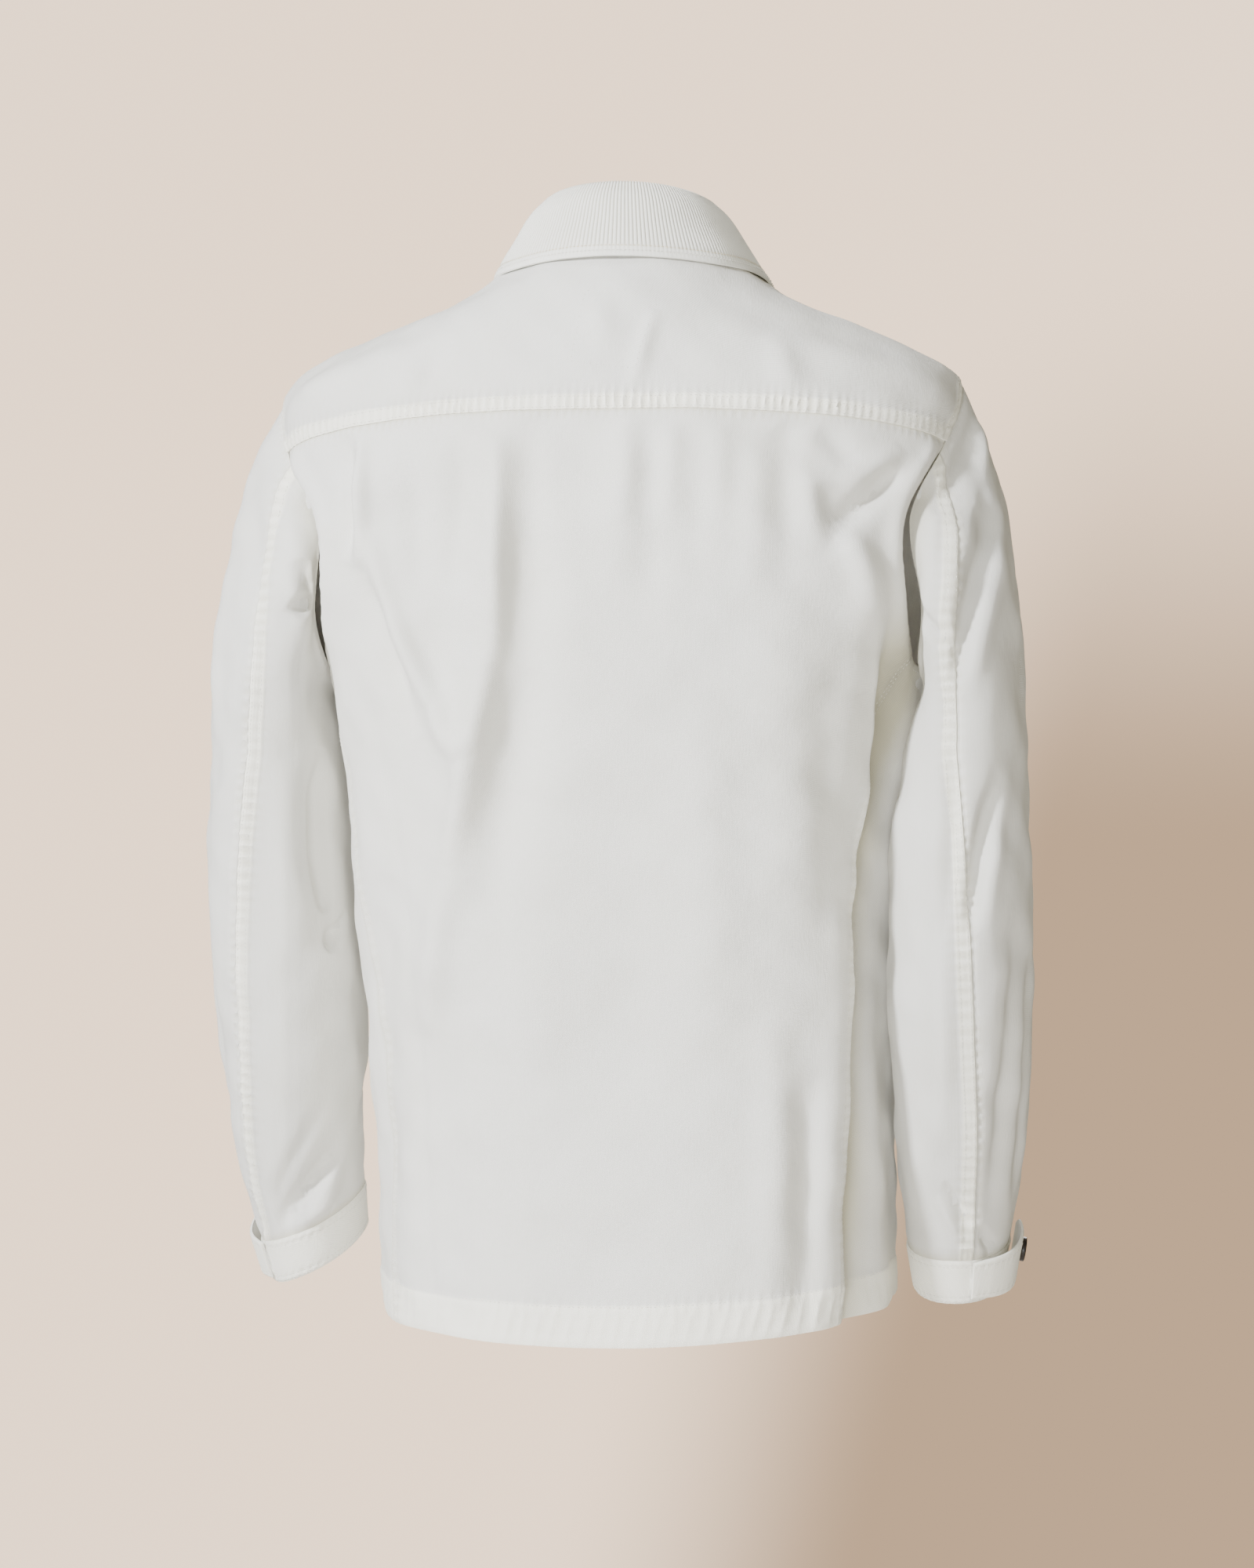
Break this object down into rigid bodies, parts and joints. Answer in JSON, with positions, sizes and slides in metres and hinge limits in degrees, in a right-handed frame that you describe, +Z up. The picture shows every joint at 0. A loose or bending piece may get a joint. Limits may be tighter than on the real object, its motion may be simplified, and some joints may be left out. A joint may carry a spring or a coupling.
{
  "type": "safari jacket",
  "caption": "Straight cotton twill jacket with a corduroy collar, back yoke, two-piece sleeves and buttoned cuff tabs, filled out as if worn.",
  "frame": {"origin": "centre of the neck opening at the level of the collar seam, where the wearer's neck and shoulders hold the jacket", "axes": "+Z up, the front faces -Y, +X to the wearer's left"},
  "size_m": [0.5856, 0.2868, 0.7906],
  "materials": {
    "twill": "off-white cotton twill, washed, soft sheen",
    "corduroy": "ivory cotton corduroy, about 10 wales to the inch, with a short nap",
    "button": "near-black moulded resin with a raised rim, satin"
  },
  "bodies": {
    "root": {"back_panel": "twill", "yoke": "twill", "front_left": "twill", "front_right": "twill", "button_stand": "twill", "sleeve_upper_left": "twill", "sleeve_upper_right": "twill", "sleeve_under_left": "twill", "sleeve_under_right": "twill", "cuff_left": "twill", "cuff_right": "twill", "cuff_tab_left": "twill", "cuff_tab_right": "twill", "collar": "corduroy", "front_button_1": "button", "front_button_2": "button", "front_button_3": "button", "front_button_4": "button", "front_button_5": "button", "front_button_6": "button", "cuff_button_left": "button", "cuff_button_right": "button"}
  },
  "joints": []
}
